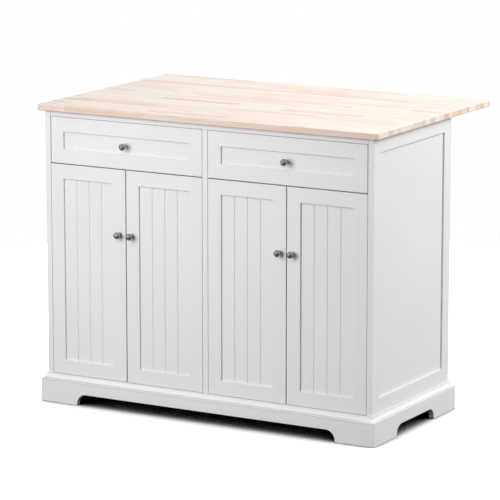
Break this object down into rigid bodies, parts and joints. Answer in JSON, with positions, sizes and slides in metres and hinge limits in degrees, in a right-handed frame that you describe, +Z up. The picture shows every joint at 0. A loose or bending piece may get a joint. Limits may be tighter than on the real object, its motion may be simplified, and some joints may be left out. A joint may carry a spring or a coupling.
{
  "type": "kitchen island",
  "caption": "Kitchen island cabinet with shaker beadboard doors, drawers, a bracket-foot plinth and a butcher-block worktop with a folding rear leaf.",
  "frame": {"origin": "on the floor, under the middle of the bounding box", "axes": "+X to the right along the width, +Y from the doors towards the drop leaf, +Z up"},
  "size_m": [1.148, 0.754, 0.914],
  "materials": {
    "white_paint": "satin white paint on wood",
    "butcher_block": "oiled finger-jointed hardwood staves",
    "drawer_wood": "clear-lacquered drawer box",
    "knob_metal": "warm antique nickel",
    "zinc_steel": "zinc-plated steel"
  },
  "bodies": {
    "cabinet": {"adjustable_shelves": "white_paint", "back_frame": "white_paint", "back_panels": "white_paint", "base_moulding": "white_paint", "bottom_panel": "white_paint", "cabinet_screws": "zinc_steel", "carcass_rails": "white_paint", "centre_partition": "white_paint", "foot_blocks": "white_paint", "hinge_arms": "zinc_steel", "hinge_mounting_plates": "zinc_steel", "leaf_hinge_pins": "zinc_steel", "leaf_hinge_top_plates": "zinc_steel", "left_side_frame": "white_paint", "main_top": "butcher_block", "plinth_back": "white_paint", "plinth_front": "white_paint", "plinth_left": "white_paint", "plinth_right": "white_paint", "right_side_frame": "white_paint", "runner_channels": "zinc_steel", "shelf_pins": "zinc_steel", "side_panels": "white_paint", "support_brackets": "zinc_steel", "support_pivots": "zinc_steel"},
    "left_outer_door": {"left_outer_door_frame": "white_paint", "left_outer_door_panel": "white_paint", "left_outer_door_knob": "knob_metal", "left_outer_door_hinge_cups": "zinc_steel"},
    "left_outer_door_hinge_links": {"left_outer_door_hinge_links": "zinc_steel"},
    "left_inner_door": {"left_inner_door_frame": "white_paint", "left_inner_door_panel": "white_paint", "left_inner_door_knob": "knob_metal", "left_inner_door_hinge_cups": "zinc_steel"},
    "left_inner_door_hinge_links": {"left_inner_door_hinge_links": "zinc_steel"},
    "right_inner_door": {"right_inner_door_frame": "white_paint", "right_inner_door_panel": "white_paint", "right_inner_door_knob": "knob_metal", "right_inner_door_hinge_cups": "zinc_steel"},
    "right_inner_door_hinge_links": {"right_inner_door_hinge_links": "zinc_steel"},
    "right_outer_door": {"right_outer_door_frame": "white_paint", "right_outer_door_panel": "white_paint", "right_outer_door_knob": "knob_metal", "right_outer_door_hinge_cups": "zinc_steel"},
    "right_outer_door_hinge_links": {"right_outer_door_hinge_links": "zinc_steel"},
    "left_drawer": {"left_drawer_front_frame": "white_paint", "left_drawer_front_panel": "white_paint", "left_drawer_box": "drawer_wood", "left_drawer_runners": "zinc_steel", "left_drawer_knob": "knob_metal"},
    "right_drawer": {"right_drawer_front_frame": "white_paint", "right_drawer_front_panel": "white_paint", "right_drawer_box": "drawer_wood", "right_drawer_runners": "zinc_steel", "right_drawer_knob": "knob_metal"},
    "leaf": {"drop_leaf": "butcher_block", "leaf_hinge_plates": "zinc_steel", "leaf_screws": "zinc_steel"},
    "left_support_arm": {"left_support_arm": "white_paint"},
    "right_support_arm": {"right_support_arm": "white_paint"}
  },
  "joints": [
    {"name": "left_outer_door_hinge", "type": "hinge", "parent": "cabinet", "child": "left_outer_door", "pos_m": [-0.536, -0.352, 0.4125], "axis": [0, 0, -1], "range_deg": [0, 100]},
    {"name": "left_outer_door_link_pivot", "type": "hinge", "parent": "left_outer_door", "child": "left_outer_door_hinge_links", "pos_m": [-0.5245, -0.3405, 0.4125], "axis": [0, 0, -1], "range_deg": [-100, 0]},
    {"name": "left_inner_door_hinge", "type": "hinge", "parent": "cabinet", "child": "left_inner_door", "pos_m": [-0.01, -0.352, 0.4125], "axis": [0, 0, 1], "range_deg": [0, 85]},
    {"name": "left_inner_door_link_pivot", "type": "hinge", "parent": "left_inner_door", "child": "left_inner_door_hinge_links", "pos_m": [-0.0215, -0.3405, 0.4125], "axis": [0, 0, 1], "range_deg": [-85, 0]},
    {"name": "right_inner_door_hinge", "type": "hinge", "parent": "cabinet", "child": "right_inner_door", "pos_m": [0.01, -0.352, 0.4125], "axis": [0, 0, -1], "range_deg": [0, 85]},
    {"name": "right_inner_door_link_pivot", "type": "hinge", "parent": "right_inner_door", "child": "right_inner_door_hinge_links", "pos_m": [0.0215, -0.3405, 0.4125], "axis": [0, 0, -1], "range_deg": [-85, 0]},
    {"name": "right_outer_door_hinge", "type": "hinge", "parent": "cabinet", "child": "right_outer_door", "pos_m": [0.536, -0.352, 0.4125], "axis": [0, 0, 1], "range_deg": [0, 100]},
    {"name": "right_outer_door_link_pivot", "type": "hinge", "parent": "right_outer_door", "child": "right_outer_door_hinge_links", "pos_m": [0.5245, -0.3405, 0.4125], "axis": [0, 0, 1], "range_deg": [-100, 0]},
    {"name": "left_drawer_slide", "type": "slide", "parent": "cabinet", "child": "left_drawer", "axis": [0, -1, 0], "range_m": [0, 0.3]},
    {"name": "right_drawer_slide", "type": "slide", "parent": "cabinet", "child": "right_drawer", "axis": [0, -1, 0], "range_m": [0, 0.3]},
    {"name": "leaf_hinge", "type": "hinge", "parent": "cabinet", "child": "leaf", "pos_m": [0, 0.2205, 0.893], "axis": [-1, 0, 0], "range_deg": [0, 90]},
    {"name": "left_support_pivot", "type": "hinge", "parent": "cabinet", "child": "left_support_arm", "pos_m": [-0.3, 0.164, 0.8837], "axis": [-1, 0, 0], "range_deg": [0, 90]},
    {"name": "right_support_pivot", "type": "hinge", "parent": "cabinet", "child": "right_support_arm", "pos_m": [0.3, 0.164, 0.8837], "axis": [-1, 0, 0], "range_deg": [0, 90]}
  ],
  "couplings": [
    {"joint": "left_outer_door_link_pivot", "follows": "left_outer_door_hinge", "ratio": -1},
    {"joint": "left_inner_door_link_pivot", "follows": "left_inner_door_hinge", "ratio": -1},
    {"joint": "right_inner_door_link_pivot", "follows": "right_inner_door_hinge", "ratio": -1},
    {"joint": "right_outer_door_link_pivot", "follows": "right_outer_door_hinge", "ratio": -1},
    {"joint": "left_support_pivot", "follows": "leaf_hinge", "ratio": 1},
    {"joint": "right_support_pivot", "follows": "leaf_hinge", "ratio": 1}
  ]
}
